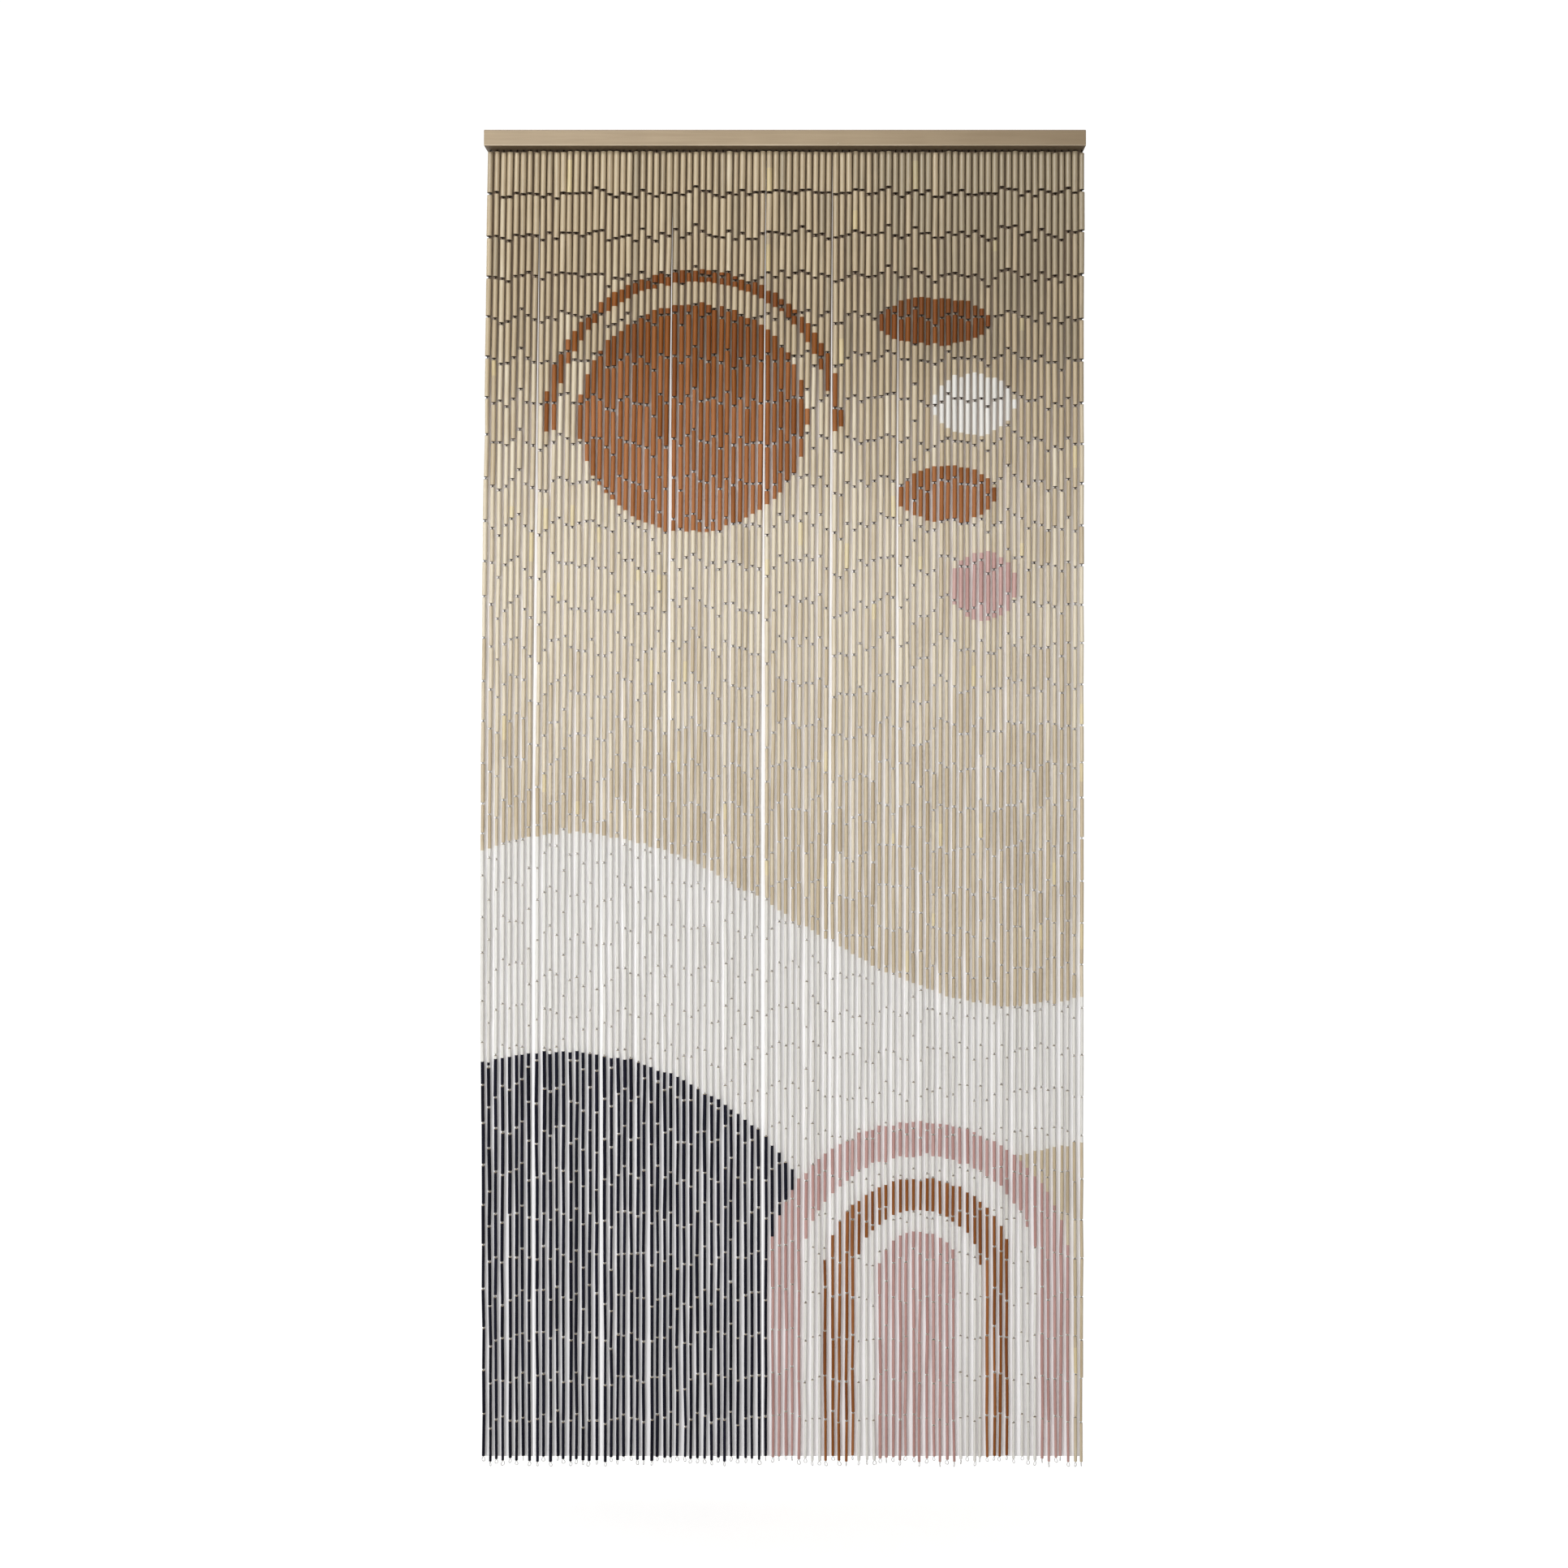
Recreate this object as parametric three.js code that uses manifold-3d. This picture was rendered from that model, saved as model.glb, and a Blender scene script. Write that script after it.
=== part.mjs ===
// Bead curtain: ninety strands of bamboo tubes that hang from a painted wooden rail.
// Millimetres, +Z up. The origin is the middle of the rail's back face, and the curtain's front
// looks along -Y.
import * as THREE from "three";
import { mergeVertices } from "three/addons/utils/BufferGeometryUtils.js";
import Module from "manifold-3d";

const wasm = await Module();
wasm.setup();

// The rail
const railLength = 900;
const railDepth = 40;
const railHeight = 24;
const railEdgeRadius = 1.6;
const railEdgeSteps = 3;

// The hanging strip under the rail, which holds every strand's top wire
const seatGap = 0.3;
const stripWidth = 3;
const stripThickness = 1;
const stripOverhang = 2;

// The strands
const strandCount = 90;
const strandPitch = 10;
const firstStrandX = -443.5;
const hangingDepth = 20;
const wireThickness = 1.6;
const meanTopDrop = 4.4;
const topScatter = 1.6;
const meanEnd = 1983;
const endScatter = 5;
const tubeWidthAtTop = 7.4;
const tubeWidthAtEnd = 4.3;
const taperPower = 1.4;
const levelCount = 7;

// The wire loop at each strand's end
const loopWidth = 5.5;
const loopDrop = 9;

// How the strands hang: the left side fans out, each strand wanders, and a few part from
// their neighbours
const fanOut = 12;
const fanLength = 0.6;
const wanderAtTop = 0.25;
const wanderAtEnd = 1.05;
const straightStart = 0.125;
const slowWaves = 1.1;
const quickWaves = 1.6;
const quickShare = 0.5;
const swayWaves = 0.85;
const swayShare = 0.5;
const strandStep = 12.9898;
const seedStep = 78.233;
const mixing = 43758.5453;
const partings = [
  { after: 27, opening: 1.6, from: 0.05, to: 0.5 },
  { after: 41, opening: 2.0, from: 0.02, to: 0.75 },
  { after: 51, opening: 2.0, from: 0.02, to: 0.75 },
  { after: 61, opening: 1.4, from: 0.1, to: 0.6 },
];
const partingReach = 2.2;
const partingFullness = 0.7;

const railUnderside = -railHeight / 2;
const strandY = -hangingDepth;

// A number from -1 to 1 for a strand, the same at every build. Each kind of scatter has a
// seed of its own.
function scatter(strand, seed) {
  const mixed = mixing * Math.sin(strandStep * (strand + 1) + seedStep * seed);
  return 2 * (mixed - Math.floor(mixed)) - 1;
}

// How far a parting has opened at a share of the drop: nothing at its ends, all in its middle.
function partingShare(parting, share) {
  const along = (share - parting.from) / (parting.to - parting.from);
  if (along <= 0 || along >= 1) return 0;
  return Math.sin(Math.PI * along) ** partingFullness;
}

// The sideways push that the partings give a strand at a share of the drop.
function pushAside(strand, share) {
  let push = 0;
  for (const parting of partings) {
    const away = strand - (parting.after + 0.5);
    const fade = Math.exp(-(Math.abs(away) - 0.5) / partingReach);
    push += (Math.sign(away) * parting.opening * fade * partingShare(parting, share)) / 2;
  }
  return push;
}

// The middle of a strand at a share of the drop, from 0 at the rail to 1 at its end.
function strandMiddle(strand, share) {
  const nominal = firstStrandX + strandPitch * strand;
  const fromRight = 1 - strand / (strandCount - 1);
  const fan = -fanOut * fromRight * Math.sin((Math.PI / 2) * Math.min(1, share / fanLength));
  const reach = wanderAtTop + (wanderAtEnd - wanderAtTop) * share;
  const turn = 2 * Math.PI;
  const slow = Math.sin(turn * slowWaves * share + Math.PI * scatter(strand, 1));
  const quick = quickShare * Math.sin(turn * quickWaves * share + Math.PI * scatter(strand, 5));
  const sway = swayShare * Math.sin(turn * swayWaves * share + Math.PI * scatter(strand, 11));
  const shown = Math.min(1, share / straightStart);
  return {
    x: nominal + fan + reach * (slow + quick) * shown + pushAside(strand, share),
    y: strandY + reach * sway * shown,
  };
}

function tubeWidth(share) {
  return tubeWidthAtEnd + (tubeWidthAtTop - tubeWidthAtEnd) * (1 - share) ** taperPower;
}

// A closed four-sided body through a list of rings, from the highest to the lowest.
function fourSidedBody(rings) {
  const positions = [];
  for (const { x, y, z, halfX, halfY } of rings) {
    positions.push(x - halfX, y - halfY, z);
    positions.push(x + halfX, y - halfY, z);
    positions.push(x + halfX, y + halfY, z);
    positions.push(x - halfX, y + halfY, z);
  }
  const faces = [0, 1, 2, 0, 2, 3];
  for (let ring = 0; ring + 1 < rings.length; ring += 1) {
    for (let side = 0; side < 4; side += 1) {
      const a = 4 * ring + side;
      const b = 4 * ring + ((side + 1) % 4);
      faces.push(a, a + 4, b, b, a + 4, b + 4);
    }
  }
  const last = 4 * (rings.length - 1);
  faces.push(last, last + 2, last + 1, last, last + 3, last + 2);
  const geometry = new THREE.BufferGeometry();
  geometry.setAttribute("position", new THREE.Float32BufferAttribute(positions, 3));
  geometry.setIndex(faces);
  return geometry;
}

// One strand: its top wire, its tubes as one tapering bar, and the wire loop at its end.
function strandGeometry(strand) {
  const top = railUnderside - meanTopDrop - topScatter * scatter(strand, 3);
  const end = -meanEnd - endScatter * scatter(strand, 7);
  const root = strandMiddle(strand, 0);
  const wire = wireThickness / 2;
  const rings = [
    { ...root, z: railUnderside - seatGap - stripThickness / 2, halfX: wire, halfY: wire },
    { ...root, z: top, halfX: wire, halfY: wire },
  ];
  for (let level = 0; level < levelCount; level += 1) {
    const share = level / (levelCount - 1);
    const half = tubeWidth(share) / 2;
    const z = top + (end - top) * share;
    rings.push({ ...strandMiddle(strand, share), z, halfX: half, halfY: half });
  }
  const tip = strandMiddle(strand, 1);
  rings.push({ ...tip, z: end, halfX: loopWidth / 2, halfY: wire });
  rings.push({ ...tip, z: end - loopDrop, halfX: loopWidth / 2, halfY: wire });
  return fourSidedBody(rings);
}

function solidOf(geometry) {
  const bare = geometry.clone();
  bare.deleteAttribute("normal");
  bare.deleteAttribute("uv");
  const merged = mergeVertices(bare, 1e-4);
  return new wasm.Manifold(
    new wasm.Mesh({
      numProp: 3,
      vertProperties: new Float32Array(merged.attributes.position.array),
      triVerts: new Uint32Array(merged.index.array),
    }),
  );
}

function geometryOf(solid) {
  const mesh = solid.getMesh();
  const positions = [];
  for (let vertex = 0; vertex < mesh.numVert; vertex += 1) {
    const start = vertex * mesh.numProp;
    positions.push(...mesh.vertProperties.subarray(start, start + 3));
  }
  const geometry = new THREE.BufferGeometry();
  geometry.setAttribute("position", new THREE.Float32BufferAttribute(positions, 3));
  geometry.setIndex(Array.from(mesh.triVerts));
  geometry.computeVertexNormals();
  return geometry;
}

// The rail: a straight planed batten with eased edges and ends. Half of the edge radius is in
// the section's corners, and the bevel of the ends adds the other half all round.
function makeRail() {
  const r = railEdgeRadius / 2;
  const cornerX = railDepth / 2 - railEdgeRadius;
  const cornerY = railHeight / 2 - railEdgeRadius;
  const section = new THREE.Shape();
  section.absarc(cornerX, cornerY, r, 0, Math.PI / 2);
  section.absarc(-cornerX, cornerY, r, Math.PI / 2, Math.PI);
  section.absarc(-cornerX, -cornerY, r, Math.PI, 1.5 * Math.PI);
  section.absarc(cornerX, -cornerY, r, 1.5 * Math.PI, 2 * Math.PI);
  const geometry = new THREE.ExtrudeGeometry(section, {
    depth: railLength - 2 * r,
    curveSegments: railEdgeSteps,
    bevelEnabled: true,
    bevelThickness: r,
    bevelSize: r,
    bevelSegments: 2,
    steps: 1,
  });
  geometry.translate(0, 0, r - railLength / 2);
  const turn = new THREE.Matrix4().makeBasis(
    new THREE.Vector3(0, 1, 0),
    new THREE.Vector3(0, 0, 1),
    new THREE.Vector3(1, 0, 0),
  );
  geometry.applyMatrix4(turn);
  geometry.translate(0, -railDepth / 2, 0);
  const paint = new THREE.MeshStandardMaterial({ color: 0xb2a284, roughness: 0.55, metalness: 0 });
  const rail = new THREE.Mesh(geometry, paint);
  rail.name = "rail";
  return rail;
}

// The strands, joined at their roots by the hanging strip.
function makeStrands() {
  const left = strandMiddle(0, 0).x - stripOverhang;
  const right = strandMiddle(strandCount - 1, 0).x + stripOverhang;
  const strip = new THREE.BoxGeometry(right - left, stripWidth, stripThickness);
  strip.translate((left + right) / 2, strandY, railUnderside - seatGap - stripThickness / 2);
  let joined = solidOf(strip);
  for (let strand = 0; strand < strandCount; strand += 1) {
    joined = joined.add(solidOf(strandGeometry(strand)));
  }
  const paint = new THREE.MeshStandardMaterial({ color: 0xc6b491, roughness: 0.5, metalness: 0 });
  const strands = new THREE.Mesh(geometryOf(joined), paint);
  strands.name = "strands";
  return strands;
}

const group = new THREE.Group();
group.add(makeRail());
group.add(makeStrands());

export default group;
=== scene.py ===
import math
import random

import bpy
import numpy as np
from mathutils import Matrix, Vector


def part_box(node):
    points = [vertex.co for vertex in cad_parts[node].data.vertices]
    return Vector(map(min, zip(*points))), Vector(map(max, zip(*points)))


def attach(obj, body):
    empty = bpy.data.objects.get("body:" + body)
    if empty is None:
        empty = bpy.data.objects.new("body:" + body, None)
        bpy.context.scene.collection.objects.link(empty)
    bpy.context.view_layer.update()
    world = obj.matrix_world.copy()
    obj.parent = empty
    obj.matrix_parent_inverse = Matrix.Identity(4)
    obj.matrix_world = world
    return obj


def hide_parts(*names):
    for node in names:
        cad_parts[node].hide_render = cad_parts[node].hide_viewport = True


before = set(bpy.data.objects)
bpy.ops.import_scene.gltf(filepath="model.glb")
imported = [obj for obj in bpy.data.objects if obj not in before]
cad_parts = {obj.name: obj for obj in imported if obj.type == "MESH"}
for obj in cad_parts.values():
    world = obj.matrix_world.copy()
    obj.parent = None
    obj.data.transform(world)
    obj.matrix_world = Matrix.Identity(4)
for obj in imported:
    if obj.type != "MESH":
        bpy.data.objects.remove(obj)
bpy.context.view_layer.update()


# The rail. A straight batten of planed softwood, 900 mm long, with its edges eased and a taupe
# satin paint brushed along it. It is the CAD node itself, with its paint put on here. As in the
# photograph, its lower front edge has a painted highlight, and its upper edge, its right-hand end
# and its underside have painted shade.
rail_low, rail_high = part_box("rail")
rail_front = rail_low[1]
rail_under = rail_low[2]
rail_top = rail_high[2]
brushing_share, clouds_share = 0.55, 0.45
edge_width = 0.0016
edge_unevenness, edge_start = 1.6, -0.25
upper_edge_share = 0.45
dark_end_from, dark_end_to, dark_end_share = 0.05, 0.45, 0.45
chip_threshold = 0.86
underside_skin = 0.0002
# The colours of the painted highlight, of the painted shade above, at the right and below, and of the
# pin chips.
edge_highlight_colour = (0.62, 0.52, 0.39)
upper_edge_shade = (0.25, 0.19, 0.125)
right_end_shade = (0.15, 0.105, 0.06)
chipped_primer = (0.72, 0.68, 0.6)
underside_shade = (0.14, 0.1, 0.06)


def new_material(name):
    """An empty node material with its Principled shader, and a short way to add nodes."""
    material = bpy.data.materials.new(name)
    material.use_nodes = True
    tree = material.node_tree
    shader = tree.nodes["Principled BSDF"]

    def add(kind, **settings):
        node = tree.nodes.new(kind)
        for key, value in settings.items():
            setattr(node, key, value)
        return node

    return material, tree.links.new, shader, add


def place_axes(add, link):
    """X, Y and Z in the object's own metres."""
    place = add("ShaderNodeTexCoord")
    axes = add("ShaderNodeSeparateXYZ")
    link(place.outputs["Object"], axes.inputs["Vector"])
    return axes.outputs


def stretched_noise(add, link, scale, detail, roughness=0.5):
    """Noise in the object's own metres, with a scale for each direction."""
    place = add("ShaderNodeTexCoord")
    stretch = add("ShaderNodeMapping")
    stretch.inputs["Scale"].default_value = scale
    link(place.outputs["Object"], stretch.inputs["Vector"])
    noise = add("ShaderNodeTexNoise")
    noise.inputs["Scale"].default_value = 1.0
    noise.inputs["Detail"].default_value = detail
    noise.inputs["Roughness"].default_value = roughness
    link(stretch.outputs["Vector"], noise.inputs["Vector"])
    return noise.outputs["Fac"]


def calculate(add, link, operation, first, second, third=None):
    """One Math node. Each of its values is a number or another node's output."""
    node = add("ShaderNodeMath", operation=operation)
    for socket, value in zip(node.inputs, (first, second, third)):
        if value is None:
            continue
        if isinstance(value, (int, float)):
            socket.default_value = value
        else:
            link(value, socket)
    return node.outputs["Value"]


def rising(add, link, value, start, end, most=1.0):
    """0 up to start, most from end on, and an even rise between them."""
    node = add("ShaderNodeMapRange")
    node.inputs["From Min"].default_value = start
    node.inputs["From Max"].default_value = end
    node.inputs["To Max"].default_value = most
    link(value, node.inputs["Value"])
    return node.outputs["Result"]


def colour_ramp(add, link, factor, stops):
    """A ramp through (place, colour) stops."""
    ramp = add("ShaderNodeValToRGB")
    elements = ramp.color_ramp.elements
    while len(elements) < len(stops):
        elements.new(0.5)
    for element, (place, colour) in zip(elements, stops):
        element.position = place
        element.color = (*colour, 1.0)
    link(factor, ramp.inputs["Fac"])
    return ramp.outputs["Color"]


def turning_to(add, link, share, first, second):
    """The colour first, turned by a share to second, which is a colour or a node's output."""
    node = add("ShaderNodeMix", data_type="RGBA")
    link(share, node.inputs["Factor"])
    link(first, node.inputs["A"])
    if isinstance(second, tuple):
        node.inputs["B"].default_value = (*second, 1.0)
    else:
        link(second, node.inputs["B"])
    return node.outputs["Result"]


def relief(add, link, shader, height, distance, strength):
    """Raises the surface by a height of 0 to 1 times distance."""
    bump = add("ShaderNodeBump")
    bump.inputs["Distance"].default_value = distance
    bump.inputs["Strength"].default_value = strength
    link(height, bump.inputs["Height"])
    link(bump.outputs["Normal"], shader.inputs["Normal"])


def taupe_rail_paint():
    """Brushed satin paint; painted highlight low in front, painted shade above, right and below."""
    material, link, shader, add = new_material("taupe_rail_paint")
    brushing = stretched_noise(add, link, (9, 260, 260), detail=4.0, roughness=0.6)
    clouds = stretched_noise(add, link, (11, 30, 30), detail=2.0)
    chips = stretched_noise(add, link, (260, 420, 420), detail=1.0)
    tone = calculate(add, link, "MULTIPLY", brushing, brushing_share)
    tone = calculate(add, link, "MULTIPLY_ADD", clouds, clouds_share, tone)
    paint = colour_ramp(add, link, tone, (
        (0.25, (0.315, 0.237, 0.147)),
        (0.5, (0.37, 0.283, 0.18)),
        (0.75, (0.42, 0.327, 0.213)),
    ))
    at = place_axes(add, link)
    # The painted highlight on the lower front edge, and painted shade on the upper edge.
    in_front = calculate(add, link, "LESS_THAN", at["Y"], rail_front + edge_width)
    low = calculate(add, link, "LESS_THAN", at["Z"], rail_under + edge_width)
    low_edge = calculate(add, link, "MULTIPLY", in_front, low)
    uneven = calculate(add, link, "MULTIPLY_ADD", brushing, edge_unevenness, edge_start)
    painted_edge_highlight = calculate(add, link, "MULTIPLY", low_edge, uneven)
    paint = turning_to(add, link, painted_edge_highlight, paint, edge_highlight_colour)
    high = calculate(add, link, "GREATER_THAN", at["Z"], rail_top - edge_width)
    high_edge = calculate(add, link, "MULTIPLY", high, upper_edge_share)
    paint = turning_to(add, link, high_edge, paint, upper_edge_shade)
    # Painted shade at the right-hand end, a few pale pin chips, and painted shade on the underside.
    to_the_right = rising(add, link, at["X"], dark_end_from, dark_end_to, dark_end_share)
    paint = turning_to(add, link, to_the_right, paint, right_end_shade)
    chipped = calculate(add, link, "GREATER_THAN", chips, chip_threshold)
    paint = turning_to(add, link, chipped, paint, chipped_primer)
    beneath = calculate(add, link, "LESS_THAN", at["Z"], rail_under + underside_skin)
    paint = turning_to(add, link, beneath, paint, underside_shade)
    link(paint, shader.inputs["Base Color"])
    shader.inputs["Specular IOR Level"].default_value = 0.35
    link(calculate(add, link, "MULTIPLY_ADD", clouds, 0.2, 0.4), shader.inputs["Roughness"])
    relief(add, link, shader, brushing, distance=0.0002, strength=0.35)
    return material


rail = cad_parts["rail"]
rail.data.materials.clear()
rail.data.materials.append(taupe_rail_paint())


# The strands. Ninety chains of hollow bamboo tubes hang side by side. This section only says
# where each strand hangs and where its tubes meet: the left side fans out, every strand
# wanders a little, and six pairs of neighbours have parted.
strand_count = 90
strand_pitch = 0.010
first_strand_x = -0.4435
strand_y = -0.020
mean_top_drop = 0.0037
top_scatter = 0.0016
mean_end = 1.983
end_scatter = 0.005
fan_out = 0.012
fan_length = 0.6
wander_at_top = 0.00025
wander_at_end = 0.00105
straight_start = 0.125
slow_waves, quick_waves, sway_waves = 1.1, 1.6, 0.85
quick_share, sway_share = 0.5, 0.5
slow_seed, top_seed, quick_seed, end_seed, sway_seed = 1, 3, 5, 7, 11
strand_step, seed_step, mixing = 12.9898, 78.233, 43758.5453
# Between which strands, how wide, and from which share of the drop to which. One that ends
# past 1 still stands open at the strands' ends.
partings = (
    {"after": 7, "opening": 0.0024, "from": 0.05, "to": 1.3},
    {"after": 17, "opening": 0.0022, "from": 0.4, "to": 1.3},
    {"after": 27, "opening": 0.0016, "from": 0.05, "to": 0.5},
    {"after": 41, "opening": 0.0024, "from": 0.02, "to": 1.2},
    {"after": 51, "opening": 0.0018, "from": 0.02, "to": 0.9},
    {"after": 61, "opening": 0.0014, "from": 0.1, "to": 0.6},
)
parting_reach = 2.2
parting_fullness = 0.7
tubes_per_strand = 32
mean_length = 0.061
length_scatter = 0.0036
even_tubes = 9
short_tube_share = 0.09
short_tube_loss = 0.010


def scatter(strand, seed):
    """A number from -1 to 1 for a strand, the same at every run."""
    mixed = mixing * math.sin(strand_step * (strand + 1) + seed_step * seed)
    return 2 * (mixed - math.floor(mixed)) - 1


def parted(parting, share):
    """How wide a parting stands open at a share of the drop."""
    along = (share - parting["from"]) / (parting["to"] - parting["from"])
    if along <= 0 or along >= 1:
        return 0.0
    return parting["opening"] * math.sin(math.pi * along) ** parting_fullness


def push_aside(strand, share):
    """How far the partings push a strand sideways at a share of the drop."""
    push = 0.0
    for parting in partings:
        away = strand - (parting["after"] + 0.5)
        fade = math.exp(-(abs(away) - 0.5) / parting_reach)
        push += math.copysign(parted(parting, share) * fade / 2, away)
    return push


def strand_middle(strand, share):
    """The middle of a strand at a share of the drop, from 0 at the rail to 1 at its end."""
    from_right = 1 - strand / (strand_count - 1)
    fan = -fan_out * from_right * math.sin(math.pi / 2 * min(1, share / fan_length))
    reach = wander_at_top + (wander_at_end - wander_at_top) * share
    turn = 2 * math.pi
    slow = math.sin(turn * slow_waves * share + math.pi * scatter(strand, slow_seed))
    quick = math.sin(turn * quick_waves * share + math.pi * scatter(strand, quick_seed))
    sway = math.sin(turn * sway_waves * share + math.pi * scatter(strand, sway_seed))
    shown = min(1, share / straight_start)
    x = first_strand_x + strand_pitch * strand + fan
    x += reach * (slow + quick_share * quick) * shown + push_aside(strand, share)
    return x, strand_y + reach * sway_share * sway * shown


def joints_of(strand, chance):
    """The heights at which a strand's tubes meet, from the top of its first tube to its end."""
    top = rail_under - mean_top_drop - top_scatter * scatter(strand, top_seed)
    end = -mean_end - end_scatter * scatter(strand, end_seed)
    lengths = []
    for tube in range(tubes_per_strand):
        short = tube >= even_tubes and chance.random() < short_tube_share
        lengths.append(chance.gauss(mean_length, length_scatter) - short_tube_loss * short)
    spare = (top - end - sum(lengths)) / tubes_per_strand
    heights = [top]
    for length in lengths:
        heights.append(heights[-1] - length - spare)
    return heights


# The tubes. Each is a length of thin hollow bamboo cane, sawn square at both ends and painted
# as part of the picture. The canes are thicker at the top of the curtain. Where the paint is
# thin the straw colour of the cane shows.
strands_per_piece = 15
tube_width_at_end = 0.0043
tube_taper = 0.0021
thick_top_extra = 0.0022
thick_top_fade = 0.2
width_scatter, narrowest, widest = 0.07, -0.15, 0.12
oval_scatter = 0.02
narrowing_scatter = 0.012
tube_sides = 12
joint_gap_at_top = 0.0034
joint_gap_at_end = 0.0016
joint_gap_scatter = 0.0006
most_gap_loss = 0.0006
cut_edge = 0.00045
bore_share = 0.3
bore_depth = 0.0045
kink_at_top = 0.00018
kink_at_end = 0.00032
kink_start = 1 / 30
aside_scatter = 0.00016
sharp_angle = math.radians(40)

# A tube's tone by chance, and by its place. The place's part is painted light and shade,
# matched to the photograph: a painted pool of light 0.6 m down, and painted shade near the
# rail and towards the right.
strand_tone_scatter, tube_tone_scatter = 0.25, 0.35
painted_light_most, painted_light_height, painted_light_reach = 1.35, -0.62, 0.3
top_shade_most, top_shade_foot, top_shade_reach = 0.75, -0.38, 0.15
right_shade_most, right_shade_from, right_shade_reach = 3.6, -0.05, 0.6
# The painted shade in the joints: none below the first height, full above the second.
joint_shade_foot, joint_shade_full = -1.0, -0.6
own_tone_share, fibre_share, cloud_share = 0.3, 0.34, 0.36
darkest_share = 0.66
roughness_range = 0.22

SAND, OFF_WHITE, RUST, PINK, NAVY, THIN, CUT, BORE = range(8)


def painted_cane(name, dark, middle, light, roughness=0.45, shine=0.4, lacquer=0.5):
    """Satin paint on cane: brushed unevenly, with the cane's fibres showing through it."""
    material, link, shader, add = new_material(name)
    fibres = stretched_noise(add, link, (900, 900, 22), detail=3.0, roughness=0.6)
    clouds = stretched_noise(add, link, (70, 70, 26), detail=2.0)
    # The tone attribute holds the tube's random tone and the painted light and shade of its place.
    own = add("ShaderNodeAttribute", attribute_name="tube_tone_and_light")
    tone = calculate(add, link, "MULTIPLY_ADD", own.outputs["Fac"], own_tone_share, 0.5)
    tone = calculate(add, link, "MULTIPLY_ADD", fibres, fibre_share, tone)
    tone = calculate(add, link, "MULTIPLY_ADD", clouds, cloud_share, tone)
    tone = calculate(add, link, "SUBTRACT", tone, (fibre_share + cloud_share) / 2)
    darkest = tuple(darkest_share * part for part in middle)
    paint = colour_ramp(add, link, tone, (
        (0.0, darkest),
        (0.2, dark),
        (0.5, middle),
        (0.92, light),
    ))
    link(paint, shader.inputs["Base Color"])
    shader.inputs["Specular IOR Level"].default_value = shine
    shader.inputs["Coat Weight"].default_value = lacquer
    shader.inputs["Coat Roughness"].default_value = 0.3
    dull = calculate(
        add, link, "MULTIPLY_ADD", clouds, roughness_range, roughness - roughness_range / 2)
    link(dull, shader.inputs["Roughness"])
    relief(add, link, shader, fibres, distance=0.00025, strength=0.3)
    return material


def painted_joint_shade(add, link):
    """How much painted shade a joint gets: none in the lower half, and full in the upper third."""
    return rising(add, link, place_axes(add, link)["Z"], joint_shade_foot, joint_shade_full)


def cut_cane():
    """The sawn end of a cane, with the dots of its fibre bundles: straw-coloured, with painted
    shade that makes it nearly black in the upper third, as the photograph shows the joints there."""
    material, link, shader, add = new_material("sawn_cane_end")
    dots = stretched_noise(add, link, (2600, 2600, 2600), detail=2.0)
    straw = colour_ramp(add, link, dots, (
        (0.32, (0.33, 0.26, 0.18)),
        (0.5, (0.5, 0.42, 0.31)),
        (0.7, (0.6, 0.52, 0.4)),
    ))
    dark = colour_ramp(add, link, dots, (
        (0.32, (0.03, 0.019, 0.011)),
        (0.7, (0.085, 0.056, 0.032)),
    ))
    # Painted shade turns the ends nearly black in the upper joints.
    colour = turning_to(add, link, painted_joint_shade(add, link), straw, dark)
    link(colour, shader.inputs["Base Color"])
    shader.inputs["Roughness"].default_value = 0.8
    relief(add, link, shader, dots, distance=0.0002, strength=0.5)
    return material


def bored_cane():
    """The inside of the bore: raw brown cane."""
    material, link, shader, add = new_material("raw_bore")
    grain = stretched_noise(add, link, (1500, 1500, 160), detail=2.0)
    colour = colour_ramp(add, link, grain, (
        (0.3, (0.06, 0.038, 0.02)),
        (0.7, (0.14, 0.095, 0.05)),
    ))
    link(colour, shader.inputs["Base Color"])
    shader.inputs["Roughness"].default_value = 0.9
    return material


# In the order of SAND to BORE.
cane_finishes = (
    painted_cane("sand_paint", (0.45, 0.355, 0.226), (0.525, 0.427, 0.28), (0.72, 0.64, 0.49)),
    painted_cane("off_white_paint", (0.67, 0.65, 0.6), (0.74, 0.725, 0.68), (0.8, 0.79, 0.75)),
    painted_cane("rust_paint", (0.18, 0.05, 0.007), (0.235, 0.072, 0.01), (0.38, 0.148, 0.05),
                 roughness=0.55, shine=0.2, lacquer=0.1),
    painted_cane("dusty_pink_paint", (0.38, 0.2, 0.175), (0.46, 0.258, 0.23), (0.56, 0.35, 0.315)),
    painted_cane("navy_paint", (0.0035, 0.0033, 0.0085), (0.006, 0.0058, 0.0135),
                 (0.011, 0.011, 0.023), roughness=0.62, shine=0.09, lacquer=0.0),
    painted_cane("thin_straw_paint", (0.52, 0.41, 0.22), (0.64, 0.53, 0.31), (0.74, 0.64, 0.41)),
    cut_cane(),
    bored_cane(),
)

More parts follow.
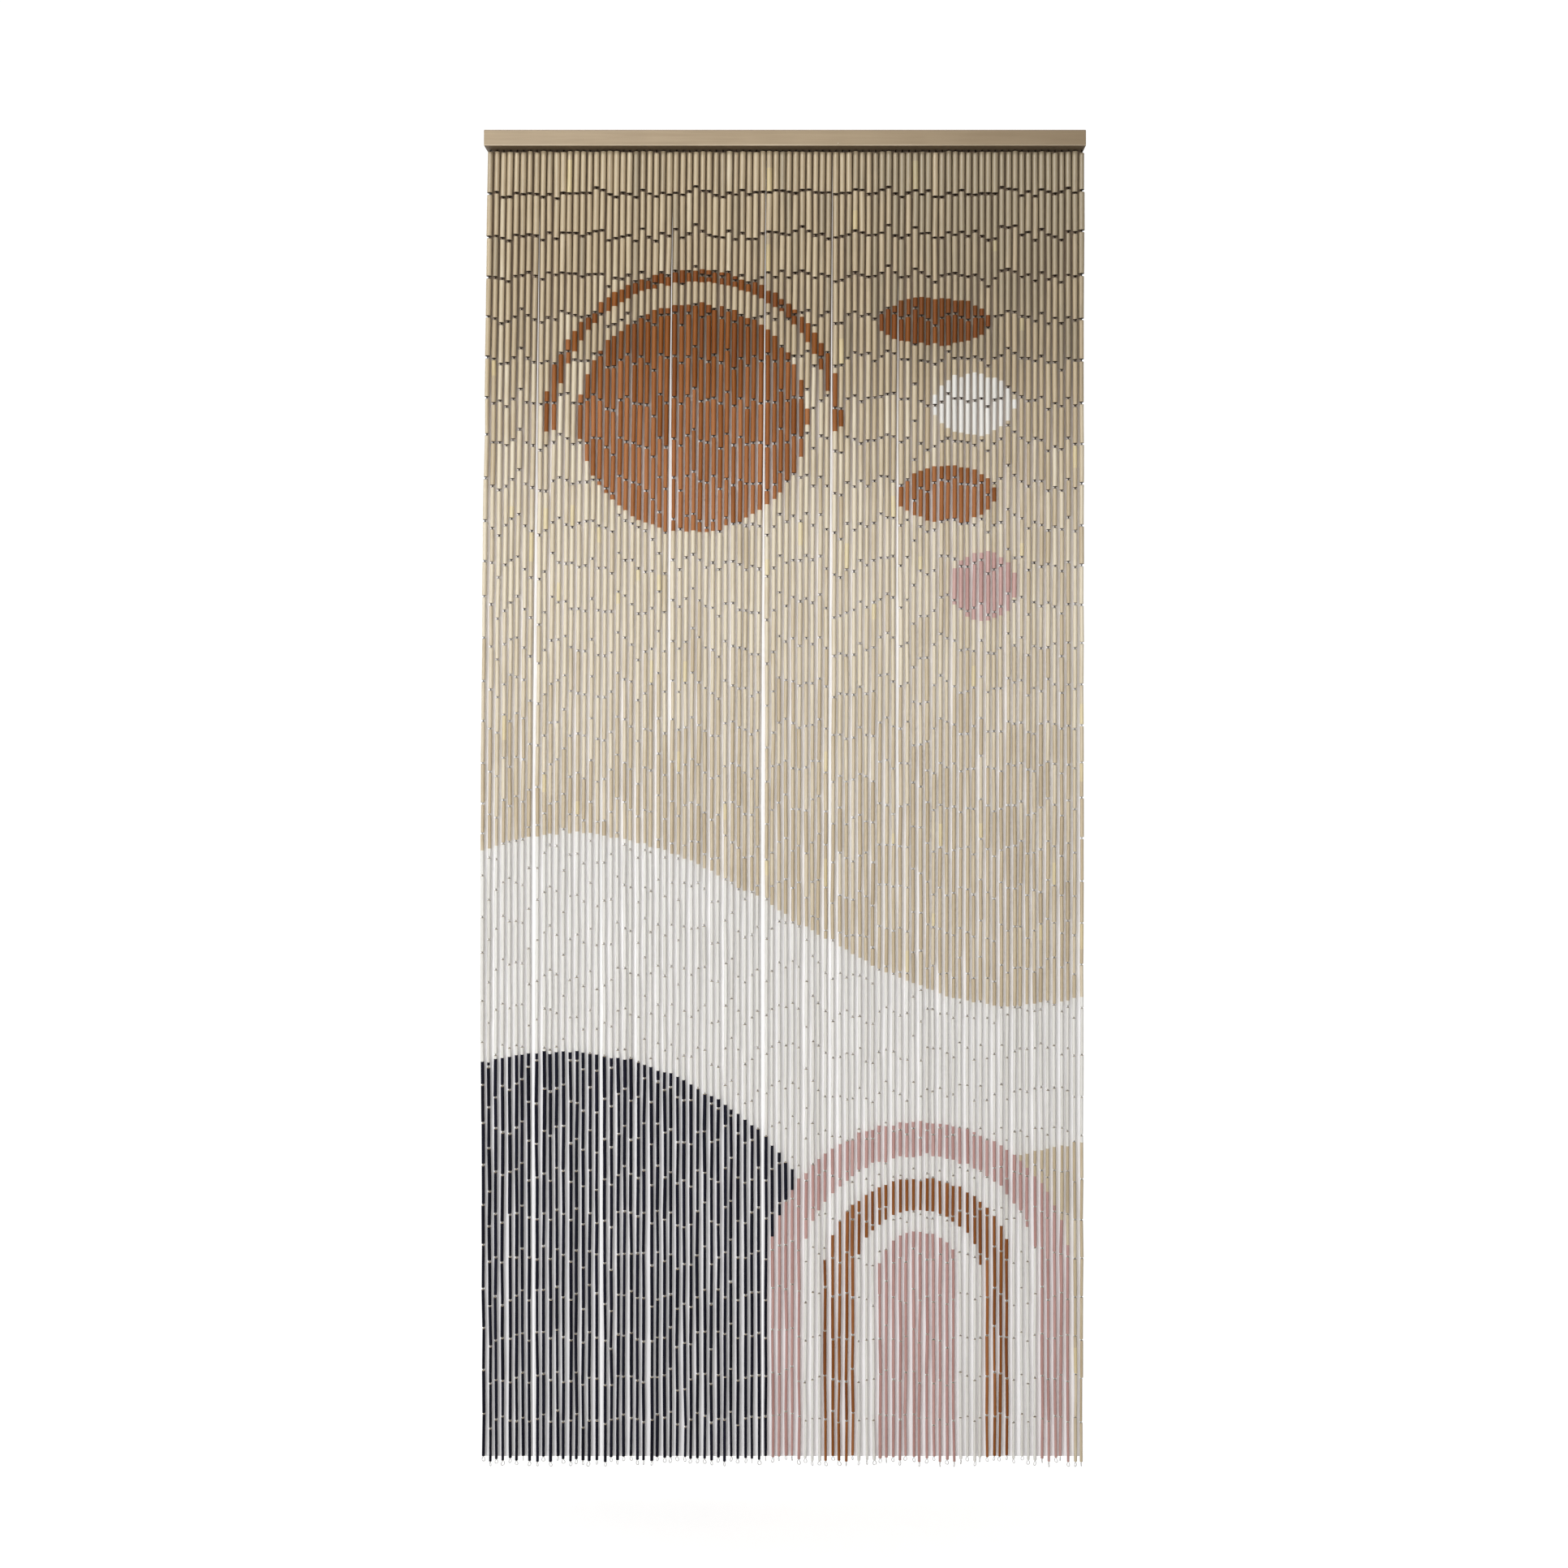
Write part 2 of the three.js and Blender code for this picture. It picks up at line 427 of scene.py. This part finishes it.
# The picture is a plain one of sun, pebbles, dunes, hill and arches. A point's paint follows
# from its place on the sheet, x to the right and z up from the rail's middle, in metres.
sun_x, sun_z, sun_radius = -0.135, -0.415, 0.172
halo_inner, halo_outer, halo_foot = 0.205, 0.222, 0.02
pebbles = (
    {"x": 0.225, "z": -0.270, "wide": 0.085, "high": 0.036, "paint": RUST},
    {"x": 0.285, "z": -0.395, "wide": 0.062, "high": 0.046, "paint": OFF_WHITE},
    {"x": 0.245, "z": -0.530, "wide": 0.074, "high": 0.042, "paint": RUST},
    {"x": 0.300, "z": -0.668, "wide": 0.050, "high": 0.052, "paint": PINK},
)
upper_dune = {"middle": -1.170, "swell": 0.130, "from": 0.02, "length": 0.21}
lower_dune = {"middle": -1.560, "swell": 0.060, "from": -0.36, "length": 0.19}
hill_x, hill_z, hill_radius = -0.330, -1.800, 0.430
arches_x, arches_z = 0.205, -1.700
arch_bands = (
    (0.225, PINK), (0.175, OFF_WHITE), (0.140, RUST), (0.092, OFF_WHITE), (0.060, PINK),
)
paint_step = 0.001
paint_edge_scatter = 0.0012
least_paint = 0.004
thin_paint_share = 0.035
thin_paint_from, thin_paint_to = 0.2, 0.7
thin_above_share = 0.35


def dune_line(dune, x):
    """The height of a dune's line at x."""
    return dune["middle"] - dune["swell"] * math.sin((x - dune["from"]) / dune["length"])


def paint_at(x, z):
    """The paint at x for an array of heights z. Later shapes lie over earlier ones."""
    paint = np.full(z.shape, SAND)
    paint[(z < dune_line(upper_dune, x)) & (z > dune_line(lower_dune, x))] = OFF_WHITE
    from_sun = np.hypot(x - sun_x, z - sun_z)
    paint[from_sun < sun_radius] = RUST
    paint[(from_sun > halo_inner) & (from_sun < halo_outer) & (z > sun_z - halo_foot)] = RUST
    for pebble in pebbles:
        sideways = (x - pebble["x"]) / pebble["wide"]
        upwards = (z - pebble["z"]) / pebble["high"]
        paint[sideways ** 2 + upwards ** 2 < 1] = pebble["paint"]
    paint[np.hypot(x - hill_x, z - hill_z) < hill_radius] = NAVY
    sideways = abs(x - arches_x)
    from_arch = np.where(z > arches_z, np.hypot(sideways, z - arches_z), sideways)
    for radius, colour in arch_bands:
        paint[from_arch < radius] = colour
    return paint


def paint_changes(x, top, bottom, chance):
    """The paints down one tube, as (depth at which it begins, paint), the first at 0."""
    length = top - bottom
    heights = np.linspace(top, bottom, max(2, round(length / paint_step)))
    paints = paint_at(x, heights)
    changes = [(0.0, int(paints[0]))]
    for index in np.nonzero(np.diff(paints))[0] + 1:
        depth = top - heights[index] + chance.gauss(0, paint_edge_scatter)
        if depth - changes[-1][0] < least_paint:
            changes[-1] = (changes[-1][0], int(paints[index]))
        elif depth < length - least_paint:
            changes.append((depth, int(paints[index])))
    if len(changes) == 1 and changes[0][1] == SAND and chance.random() < thin_paint_share:
        depth = chance.uniform(thin_paint_from, thin_paint_to) * length
        if chance.random() < thin_above_share:
            changes = [(0.0, THIN), (depth, SAND)]
        else:
            changes = [(0.0, SAND), (depth, THIN)]
    return changes


def ring_faces(ring_count, sides, start=0):
    """The faces of a closed body of rings: its first end, its sides ring by ring, its last end."""
    faces = [[start + side for side in range(sides)]]
    for ring in range(ring_count - 1):
        first = start + ring * sides
        for side in range(sides):
            here, there = first + side, first + (side + 1) % sides
            faces.append((here, here + sides, there + sides, there))
    last = start + (ring_count - 1) * sides
    faces.append([last + side for side in reversed(range(sides))])
    return faces


def add_tube(cane, top, bottom, width, paints, tone, chance):
    """Adds one tube to the lists in cane, as rings round its axis. Its bore is open for
    bore_depth at each end and closed between."""
    top, bottom = np.array(top), np.array(bottom)
    length = float(np.linalg.norm(top - bottom))
    up = (top - bottom) / length
    side = np.cross(up, (0.0, 1.0, 0.0))
    side /= np.linalg.norm(side)
    front = np.cross(up, side)
    turned = chance.uniform(0, 2 * math.pi)
    angles = turned + np.arange(tube_sides) * 2 * math.pi / tube_sides
    oval = 1 + chance.gauss(0, oval_scatter)
    circle = np.outer(np.cos(angles), side) * oval + np.outer(np.sin(angles), front) / oval
    bore = bore_share * width
    narrowing = chance.gauss(0, narrowing_scatter)

    def outside(depth):
        return width / 2 * (1 + narrowing * (2 * depth / length - 1))

    # Each ring's depth, its radius, and the finish from it to the next.
    rings = [(bore_depth, bore, BORE), (0.0, bore, CUT), (0.0, outside(0) - cut_edge, CUT),
             (cut_edge, outside(0), paints[0][1])]
    for depth, paint in paints[1:]:
        rings.append((depth, outside(depth), paint))
    rings += [(length - cut_edge, outside(length), CUT),
              (length, outside(length) - cut_edge, CUT), (length, bore, BORE),
              (length - bore_depth, bore, None)]
    for depth, reach, _ in rings:
        cane["points"].append(top - up * depth + circle * reach)
    cane["faces"].extend(ring_faces(len(rings), tube_sides, cane["count"]))
    cane["finishes"].append(BORE)
    for _, _, finish in rings[:-1]:
        cane["finishes"].extend([finish] * tube_sides)
    cane["finishes"].append(BORE)
    cane["tones"].extend([tone] * (len(rings) * tube_sides))
    cane["count"] += len(rings) * tube_sides


def piece_from(name, points, faces, materials, indices=None):
    """A mesh object that rides on the curtain's one body."""
    mesh = bpy.data.meshes.new(name)
    mesh.from_pydata(points, [], faces)
    for material in materials:
        mesh.materials.append(material)
    if indices is not None:
        mesh.polygons.foreach_set("material_index", indices)
    mesh.shade_smooth()
    piece = bpy.data.objects.new(name, mesh)
    bpy.context.scene.collection.objects.link(piece)
    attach(piece, "root")
    return piece


def places_of(strand, chance):
    """The points at which a strand's tubes meet, each a little out of line."""
    heights = joints_of(strand, chance)
    drop = heights[0] - heights[-1]
    places = []
    for height in heights:
        share = (heights[0] - height) / drop
        x, y = strand_middle(strand, share)
        kink = kink_at_top + (kink_at_end - kink_at_top) * share
        shown = min(1, share / kink_start)
        x += chance.gauss(0, kink) * shown
        y += chance.gauss(0, kink / 2) * shown
        places.append((x, y, height))
    return places


def gap_left(share, chance):
    """How far a tube at a share of the drop ends short of its joint."""
    gap = joint_gap_at_top + (joint_gap_at_end - joint_gap_at_top) * share
    return (gap + max(-most_gap_loss, chance.gauss(0, joint_gap_scatter))) / 2


def width_of(share, chance):
    """The width of a tube at a share of the drop."""
    width = tube_width_at_end + tube_taper * (1 - share)
    width += thick_top_extra * math.exp(-share / thick_top_fade)
    return width * (1 + max(narrowest, min(widest, chance.gauss(0, width_scatter))))


def tone_of(x, z, strand_tone, chance):
    """The tone of a tube whose top is at x and z, with the painted light and shade of its place."""
    tone = max(-1.0, min(1.0, strand_tone + chance.gauss(0, tube_tone_scatter)))
    tone += painted_light_most * math.exp(-((z - painted_light_height) / painted_light_reach) ** 2)
    tone -= top_shade_most * max(0, min(1, (z - top_shade_foot) / top_shade_reach))
    tone -= right_shade_most * max(0, x - right_shade_from) * math.exp(z / right_shade_reach)
    return tone


tube_chance = random.Random(90)
joints = []
strand_ends = []
for first_strand in range(0, strand_count, strands_per_piece):
    cane = {"points": [], "faces": [], "finishes": [], "tones": [], "count": 0}
    for strand in range(first_strand, first_strand + strands_per_piece):
        places = places_of(strand, tube_chance)
        strand_tone = tube_chance.gauss(0, strand_tone_scatter)
        nominal_x = first_strand_x + strand_pitch * strand
        root_x, root_y, root_z = places[0]
        joints.append((root_x, root_y, (root_z + rail_under) / 2))
        for tube in range(tubes_per_strand):
            share = (tube + 0.5) / tubes_per_strand
            (top_x, top_y, top_z), (low_x, low_y, low_z) = places[tube], places[tube + 1]
            aside = tube_chance.gauss(0, aside_scatter)
            top_gap = gap_left(share, tube_chance)
            low_gap = gap_left(share, tube_chance)
            if tube == 0:
                top_gap = 0.0
            if tube == tubes_per_strand - 1:
                low_gap = 0.0
            top = (top_x + aside, top_y, top_z - top_gap)
            bottom = (low_x + aside, low_y, low_z + low_gap)
            width = width_of(share, tube_chance)
            paints = paint_changes(nominal_x, top[2], bottom[2], tube_chance)
            tone = tone_of(top_x, top_z, strand_tone, tube_chance)
            add_tube(cane, top, bottom, width, paints, tone, tube_chance)
            if tube < tubes_per_strand - 1:
                joints.append((low_x, low_y, low_z))
            else:
                strand_ends.append(bottom)
    tubes = piece_from(
        f"tubes_{first_strand // strands_per_piece + 1}",
        np.concatenate(cane["points"]).tolist(), cane["faces"], cane_finishes, cane["finishes"])
    tubes.data.set_sharp_from_angle(angle=sharp_angle)
    tones = tubes.data.attributes.new("tube_tone_and_light", "FLOAT", "POINT")
    tones.data.foreach_set("value", cane["tones"])
    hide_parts("strands")


# The link eyes. At every joint two hairpins of thin steel wire hook through each other: the
# upper one's legs run up into the bore of the tube above, the lower one's down into the tube
# below. At the rail the upper one is driven into the wood.
eye_pieces = 6
wire_radius = 0.0005
eye_half_width = 0.00076
leg_length = 0.0042
bend_steps = 4
wire_sides = 4
wire_shade_colour = (0.05, 0.034, 0.022)


def steel_wire():
    """Drawn steel, faintly stained, with painted shade as dark as the sawn ends in the upper joints.
    """
    material, link, shader, add = new_material("drawn_steel_wire")
    shader.inputs["Metallic"].default_value = 1.0
    stain = stretched_noise(add, link, (700, 700, 700), detail=2.0)
    bright = colour_ramp(add, link, stain, (
        (0.3, (0.36, 0.33, 0.29)),
        (0.6, (0.6, 0.59, 0.56)),
    ))
    # Painted shade darkens the wire in the upper joints.
    colour = turning_to(add, link, painted_joint_shade(add, link), bright, wire_shade_colour)
    link(colour, shader.inputs["Base Color"])
    link(calculate(add, link, "MULTIPLY_ADD", stain, 0.25, 0.22), shader.inputs["Roughness"])
    return material


def wire_along(route, radius, sides):
    """Points and faces of a closed wire along a route that lies in one upright plane."""
    route = np.array(route)
    ahead = np.gradient(route, axis=0)
    ahead /= np.linalg.norm(ahead, axis=1)[:, None]
    flat = np.array((0.0, 1.0, 0.0))
    points = []
    for place, direction in zip(route, ahead):
        across = np.cross(direction, flat)
        across /= np.linalg.norm(across)
        for side in range(sides):
            angle = 2 * math.pi * (side + 0.5) / sides
            points.append(place + radius * (math.cos(angle) * across + math.sin(angle) * flat))
    return np.array(points), ring_faces(len(route), sides)


def hairpin():
    """One wire eye with its bend at the origin and its legs up."""
    bend = []
    for step in range(bend_steps + 1):
        angle = math.pi * (1 + step / bend_steps)
        bend.append((eye_half_width * math.cos(angle), 0.0,
                     eye_half_width * (1 + math.sin(angle))))
    first = (-eye_half_width, 0.0, leg_length)
    last = (eye_half_width, 0.0, leg_length)
    return wire_along([first, *bend, last], wire_radius, wire_sides)


def turn_about_z(angle):
    """A turn about the upright axis."""
    cosine, sine = math.cos(angle), math.sin(angle)
    return np.array(((cosine, -sine, 0.0), (sine, cosine, 0.0), (0.0, 0.0, 1.0)))


steel = steel_wire()
eye_points, eye_faces = hairpin()
eye_chance = random.Random(31)
joints_per_piece = len(joints) // eye_pieces
for piece_at in range(eye_pieces):
    points, faces = [], []
    for x, y, z in joints[piece_at * joints_per_piece:(piece_at + 1) * joints_per_piece]:
        turned = eye_chance.uniform(0, math.pi)
        # The lower eye is the upper one turned upside down and a quarter round.
        for upright, quarter in ((1, 0.0), (-1, math.pi / 2)):
            turn = turn_about_z(turned + quarter) @ np.diag((1, upright, upright))
            start = len(points) * len(eye_points)
            points.append(eye_points @ turn.T + (x, y, z - upright * wire_radius))
            faces.extend([start + corner for corner in face] for face in eye_faces)
    eyes = piece_from(f"link_eyes_{piece_at + 1}", np.concatenate(points).tolist(), faces, (steel,))
    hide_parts("strands")


# The end loops. Under each strand the wire of the last tube comes out as a small open loop. The
# loops are turned, tilted and closed unevenly.
loop_stem = 0.0022
loop_throat = 0.0007
loop_start = 0.0009
loop_drop = 0.0072
loop_bulge = 0.00325
loop_roundness = 0.8
loop_openings = (0.0002, 0.0006, 0.0014, 0.0022)
loop_opening_onset = 6
loop_lean_scatter = 0.12
least_loop_size = 0.82
loop_wire_radius = 0.00042
loop_sides = 5
loop_steps = 16


def loop_route(open_by):
    """A drop-shaped loop that hangs from the bore, its far end left open_by short of closing."""
    route = [(0.0, 0.0, loop_stem), (0.0, 0.0, 0.0), (0.0, 0.0, -loop_throat)]
    for step in range(1, loop_steps):
        share = step / loop_steps
        angle = 2 * math.pi * share
        x = -loop_bulge * math.sin(angle) * math.sin(angle / 2) ** loop_roundness
        x += open_by * share ** loop_opening_onset
        z = -loop_start - loop_drop * (1 - math.cos(angle)) / 2
        route.append((x, 0.0, z))
    return route


loop_chance = random.Random(7)
points, faces = [], []
for x, y, z in strand_ends:
    open_by = loop_chance.choice(loop_openings)
    loop_points, loop_faces = wire_along(loop_route(open_by), loop_wire_radius, loop_sides)
    turned = loop_chance.uniform(0, 2 * math.pi)
    lean = loop_chance.gauss(0, loop_lean_scatter)
    size = loop_chance.uniform(least_loop_size, 1.0)
    leaning = np.array(((math.cos(lean), 0, math.sin(lean)), (0, 1, 0),
                        (-math.sin(lean), 0, math.cos(lean))))
    turn = turn_about_z(turned) @ leaning
    start = len(points) * len(loop_points)
    points.append((loop_points * size) @ turn.T + (x, y, z))
    faces.extend([start + corner for corner in face] for face in loop_faces)
loops = piece_from("end_loops", np.concatenate(points).tolist(), faces, (steel,))
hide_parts("strands")


# The stand-in room: a pale floor just below the curtain, a wall that shows as plain white, and
# a board close behind the strands, which takes their shadows. The board has painted shade: it is
# brown at the top, where the photograph's gaps are dark, and it has a weak painted glow low down.
# It has a slit behind each parting, which shows white.
floor_height = -2.03
wall_gap = 0.002
room_reach = 6.0
camera_distance = 2.5
board_gap = 0.0065
board_top, board_foot = rail_under - 0.0005, -1.982
board_steps = 20
slit_share = 0.45
white_as_seen = 1.05
floor_glow = 0.6
board_glow, board_glow_from, board_glow_to = 0.05, 0.5, 1.0
# The board's colour by depth: brown painted shade at the top, nearly white below.
board_shade_ramp = (
    (0.03, (0.29, 0.215, 0.15)),
    (0.2, (0.34, 0.26, 0.195)),
    (0.3, (0.45, 0.38, 0.315)),
    (0.42, (0.7, 0.64, 0.6)),
    (0.56, (0.86, 0.82, 0.8)),
    (1.1, (0.86, 0.85, 0.86)),
)


def plaster(name, colour):
    """Matt plaster with the faintest grain."""
    material, link, shader, add = new_material(name)
    grain = stretched_noise(add, link, (60, 60, 60), detail=3.0)
    tint = colour_ramp(add, link, grain, (
        (0.3, tuple(0.985 * part for part in colour)),
        (0.7, colour),
    ))
    link(tint, shader.inputs["Base Color"])
    shader.inputs["Roughness"].default_value = 0.9
    return material, link, shader, add


def one_sided(material, link, front, add):
    """Lets a sheet show from its front only, and lets the light behind it through."""
    clear = add("ShaderNodeBsdfTransparent")
    face = add("ShaderNodeNewGeometry")
    path = add("ShaderNodeLightPath")
    unseen = calculate(add, link, "MAXIMUM", face.outputs["Backfacing"],
                       path.outputs["Is Shadow Ray"])
    mix = add("ShaderNodeMixShader")
    link(unseen, mix.inputs["Fac"])
    link(front, mix.inputs[1])
    link(clear.outputs["BSDF"], mix.inputs[2])
    link(mix.outputs["Shader"], material.node_tree.nodes["Material Output"].inputs["Surface"])


def bright_wall():
    """A white wall that the camera sees as plain white."""
    material, link, shader, add = plaster("white_wall", (0.9, 0.895, 0.89))
    glow = add("ShaderNodeEmission")
    glow.inputs["Color"].default_value = (1.0, 1.0, 1.0, 1.0)
    glow.inputs["Strength"].default_value = white_as_seen
    seen = add("ShaderNodeLightPath")
    front = add("ShaderNodeMixShader")
    link(seen.outputs["Is Camera Ray"], front.inputs["Fac"])
    link(shader.outputs["BSDF"], front.inputs[1])
    link(glow.outputs["Emission"], front.inputs[2])
    one_sided(material, link, front.outputs["Shader"], add)
    return material


def pale_floor():
    """A pale floor that the camera sees brighter than the lamps light it."""
    material, link, shader, add = plaster("pale_floor", (0.6, 0.595, 0.59))
    seen = add("ShaderNodeLightPath")
    shader.inputs["Emission Color"].default_value = (1.0, 1.0, 1.0, 1.0)
    link(calculate(add, link, "MULTIPLY", seen.outputs["Is Camera Ray"], floor_glow),
         shader.inputs["Emission Strength"])
    return material


def shade_painted_board():
    """Brown painted shade at the top, nearly white from mid-height down, a weak painted glow low down.
    """
    material, link, shader, add = new_material("shade_painted_board")
    depth = calculate(add, link, "MULTIPLY", place_axes(add, link)["Z"], -1.0)
    link(colour_ramp(add, link, depth, board_shade_ramp), shader.inputs["Base Color"])
    shader.inputs["Emission Color"].default_value = (1.0, 0.98, 0.97, 1.0)
    link(rising(add, link, depth, board_glow_from, board_glow_to, board_glow),
         shader.inputs["Emission Strength"])
    shader.inputs["Roughness"].default_value = 0.9
    one_sided(material, link, shader.outputs["BSDF"], add)
    return material


def stage_sheet(name, corners, material):
    """One flat sheet of the stand-in room."""
    mesh = bpy.data.meshes.new(name)
    mesh.from_pydata(corners, [], [tuple(range(len(corners)))])
    mesh.materials.append(material)
    sheet = bpy.data.objects.new(name, mesh)
    bpy.context.scene.collection.objects.link(sheet)


floor_corners = [(x * room_reach, y * room_reach, floor_height)
                 for x, y in ((-1, -1), (1, -1), (1, 1), (-1, 1))]
wall_corners = [(x * room_reach, wall_gap, z)
                for x, z in ((-1, floor_height), (1, floor_height), (1, room_reach), (-1, room_reach))]
stage_sheet("floor", floor_corners, pale_floor())
stage_sheet("wall", wall_corners, bright_wall())


def slit_edge(parting, share, side):
    """One edge of the slit behind a parting, set outwards as it is seen from in front."""
    after = parting["after"]
    middle = (strand_middle(after, share)[0] + strand_middle(after + 1, share)[0]) / 2
    outwards = 1 + board_gap / camera_distance
    return middle * outwards + side * slit_share * parted(parting, share)


board = shade_painted_board()
shares = [step / board_steps for step in range(board_steps + 1)]
heights = [min(share * board_foot, board_top) for share in shares]
for panel in range(len(partings) + 1):
    if panel == 0:
        left = [strand_middle(0, share)[0] for share in shares]
    else:
        left = [slit_edge(partings[panel - 1], share, 1) for share in shares]
    if panel == len(partings):
        right = [strand_middle(strand_count - 1, share)[0] for share in shares]
    else:
        right = [slit_edge(partings[panel], share, -1) for share in shares]
    outline = list(zip(left, heights)) + list(zip(right, heights))[::-1]
    stage_sheet(f"board_{panel + 1}", [(x, strand_y + board_gap, z) for x, z in outline], board)


# The light: a soft key from the upper left, a weak light under it at the height of the curtain,
# a wide soft fill from low in front, and one behind for the views from there. The world is a
# white studio that gives a little light of its own.
def soft_light(name, place, target, wide, high, power):
    """A rectangular lamp at a place, turned towards a target."""
    data = bpy.data.lights.new(name, "AREA")
    data.shape = "RECTANGLE"
    data.size, data.size_y = wide, high
    data.energy = power
    lamp = bpy.data.objects.new(name, data)
    lamp.location = place
    lamp.rotation_euler = (Vector(target) - Vector(place)).to_track_quat("-Z", "Y").to_euler()
    bpy.context.scene.collection.objects.link(lamp)


soft_light("key", (-1.5, -3.0, 1.4), (0.0, 0.0, -1.1), wide=0.7, high=0.7, power=64)
soft_light("side", (-1.5, -2.7, -0.2), (0.0, 0.0, -0.8), wide=0.5, high=0.5, power=9)
soft_light("fill", (-0.7, -3.3, -1.5), (0.0, 0.0, -1.2), wide=3.2, high=2.4, power=78)
soft_light("behind", (1.4, 2.8, 0.1), (0.0, 0.0, -0.8), wide=2.0, high=2.0, power=14)

world = bpy.data.worlds.new("white_studio")
bpy.context.scene.world = world
world.use_nodes = True
world_nodes, world_link = world.node_tree.nodes, world.node_tree.links.new
seen_white = world_nodes.new("ShaderNodeBackground")
seen_white.inputs["Color"].default_value = (1.0, 1.0, 1.0, 1.0)
seen_white.inputs["Strength"].default_value = white_as_seen
room_glow = world_nodes["Background"]
room_glow.inputs["Color"].default_value = (1.0, 0.99, 0.97, 1.0)
room_glow.inputs["Strength"].default_value = 0.2
seen = world_nodes.new("ShaderNodeLightPath")
choose = world_nodes.new("ShaderNodeMixShader")
world_link(seen.outputs["Is Camera Ray"], choose.inputs["Fac"])
world_link(room_glow.outputs["Background"], choose.inputs[1])
world_link(seen_white.outputs["Background"], choose.inputs[2])
world_link(choose.outputs["Shader"], world_nodes["World Output"].inputs["Surface"])
bpy.context.scene.view_settings.view_transform = "Standard"


# The camera stands square to the curtain, 2.5 m in front of the rail and a little to its
# right. Its lens takes in 2343 mm at the rail, as in the photograph, and a small shift lets it
# stand nearer the height from which the curtain was seen.
frame_width = 2.343
sensor = 36.0
shift_x, shift_y = -0.02, -0.05
frame_centre_x, frame_centre_z = -0.0014, -0.9660
camera_data = bpy.data.cameras.new("camera")
camera_data.sensor_width = sensor
camera_data.lens = sensor * camera_distance / frame_width
camera_data.shift_x, camera_data.shift_y = shift_x, shift_y
camera = bpy.data.objects.new("camera", camera_data)
camera.location = (
    frame_centre_x - shift_x * frame_width,
    rail_front - camera_distance,
    frame_centre_z - shift_y * frame_width,
)
camera.rotation_euler = (math.pi / 2, 0.0, 0.0)
bpy.context.scene.collection.objects.link(camera)
bpy.context.scene.camera = camera
